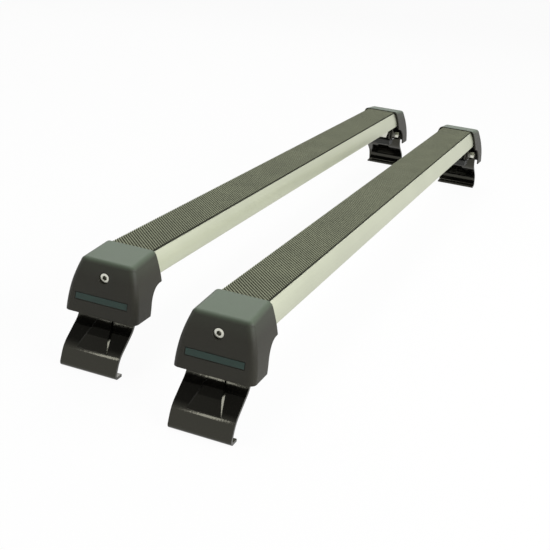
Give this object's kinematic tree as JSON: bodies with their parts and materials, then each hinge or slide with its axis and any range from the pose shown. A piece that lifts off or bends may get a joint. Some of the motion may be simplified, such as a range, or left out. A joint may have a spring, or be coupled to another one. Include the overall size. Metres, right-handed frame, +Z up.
{
  "type": "pair of roof cross bars",
  "caption": "Aluminium roof cross bars with ribbed rubber tops, moulded end covers and hooked steel claws that a socket screw draws in to grip the roof edge.",
  "frame": {"origin": "on the floor that the claws stand on, midway between the bars and midway along the pair", "axes": "+X along the bars, +Y from the front bar to the rear bar, +Z up"},
  "size_m": [1.1348, 0.2408, 0.1173],
  "materials": {
    "aluminium": "satin anodised",
    "strip_rubber": "matt, ribbed",
    "pad_rubber": "matt",
    "cover_plastic": "fine matt grain",
    "black_steel": "gloss black",
    "zinc_steel": "zinc plated"
  },
  "bodies": {
    "bars": {"front_bar": "aluminium", "front_left_bracket": "black_steel", "front_left_bracket_bolts": "zinc_steel", "front_left_channel_nut": "zinc_steel", "front_left_cover": "cover_plastic", "front_left_guide_bolt": "zinc_steel", "front_left_guide_nut": "zinc_steel", "front_left_guide_washers": "zinc_steel", "front_left_pad": "pad_rubber", "front_left_pad_plate": "zinc_steel", "front_right_bracket": "black_steel", "front_right_bracket_bolts": "zinc_steel", "front_right_channel_nut": "zinc_steel", "front_right_cover": "cover_plastic", "front_right_guide_bolt": "zinc_steel", "front_right_guide_nut": "zinc_steel", "front_right_guide_washers": "zinc_steel", "front_right_pad": "pad_rubber", "front_right_pad_plate": "zinc_steel", "front_rubber_strip": "strip_rubber", "rear_bar": "aluminium", "rear_left_bracket": "black_steel", "rear_left_bracket_bolts": "zinc_steel", "rear_left_channel_nut": "zinc_steel", "rear_left_cover": "cover_plastic", "rear_left_guide_bolt": "zinc_steel", "rear_left_guide_nut": "zinc_steel", "rear_left_guide_washers": "zinc_steel", "rear_left_pad": "pad_rubber", "rear_left_pad_plate": "zinc_steel", "rear_right_bracket": "black_steel", "rear_right_bracket_bolts": "zinc_steel", "rear_right_channel_nut": "zinc_steel", "rear_right_cover": "cover_plastic", "rear_right_guide_bolt": "zinc_steel", "rear_right_guide_nut": "zinc_steel", "rear_right_guide_washers": "zinc_steel", "rear_right_pad": "pad_rubber", "rear_right_pad_plate": "zinc_steel", "rear_rubber_strip": "strip_rubber"},
    "front_left_claw_slide": {"front_left_claw": "black_steel", "front_left_clamp_washer": "zinc_steel"},
    "front_left_clamp_screw_turn": {"front_left_clamp_screw": "zinc_steel"},
    "front_right_claw_slide": {"front_right_claw": "black_steel", "front_right_clamp_washer": "zinc_steel"},
    "front_right_clamp_screw_turn": {"front_right_clamp_screw": "zinc_steel"},
    "rear_left_claw_slide": {"rear_left_claw": "black_steel", "rear_left_clamp_washer": "zinc_steel"},
    "rear_left_clamp_screw_turn": {"rear_left_clamp_screw": "zinc_steel"},
    "rear_right_claw_slide": {"rear_right_claw": "black_steel", "rear_right_clamp_washer": "zinc_steel"},
    "rear_right_clamp_screw_turn": {"rear_right_clamp_screw": "zinc_steel"}
  },
  "joints": [
    {"name": "front_left_claw_travel", "type": "slide", "parent": "bars", "child": "front_left_claw_slide", "axis": [1, 0, 0], "range_m": [0, 0.012]},
    {"name": "front_left_clamp_screw_spin", "type": "hinge", "parent": "front_left_claw_slide", "child": "front_left_clamp_screw_turn", "pos_m": [-0.5389, -0.078, 0.09634], "axis": [1, 0, 0], "range_deg": [0, 4320]},
    {"name": "front_right_claw_travel", "type": "slide", "parent": "bars", "child": "front_right_claw_slide", "axis": [-1, 0, 0], "range_m": [0, 0.012]},
    {"name": "front_right_clamp_screw_spin", "type": "hinge", "parent": "front_right_claw_slide", "child": "front_right_clamp_screw_turn", "pos_m": [0.4829, -0.078, 0.09634], "axis": [-1, 0, 0], "range_deg": [0, 4320]},
    {"name": "rear_left_claw_travel", "type": "slide", "parent": "bars", "child": "rear_left_claw_slide", "axis": [1, 0, 0], "range_m": [0, 0.012]},
    {"name": "rear_left_clamp_screw_spin", "type": "hinge", "parent": "rear_left_claw_slide", "child": "rear_left_clamp_screw_turn", "pos_m": [-0.4829, 0.078, 0.09634], "axis": [1, 0, 0], "range_deg": [0, 4320]},
    {"name": "rear_right_claw_travel", "type": "slide", "parent": "bars", "child": "rear_right_claw_slide", "axis": [-1, 0, 0], "range_m": [0, 0.012]},
    {"name": "rear_right_clamp_screw_spin", "type": "hinge", "parent": "rear_right_claw_slide", "child": "rear_right_clamp_screw_turn", "pos_m": [0.5389, 0.078, 0.09634], "axis": [-1, 0, 0], "range_deg": [0, 4320]}
  ],
  "couplings": [
    {"joint": "front_left_clamp_screw_spin", "follows": "front_left_claw_travel", "rad_per_m": 6283.2},
    {"joint": "front_right_clamp_screw_spin", "follows": "front_right_claw_travel", "rad_per_m": 6283.2},
    {"joint": "rear_left_clamp_screw_spin", "follows": "rear_left_claw_travel", "rad_per_m": 6283.2},
    {"joint": "rear_right_clamp_screw_spin", "follows": "rear_right_claw_travel", "rad_per_m": 6283.2}
  ]
}
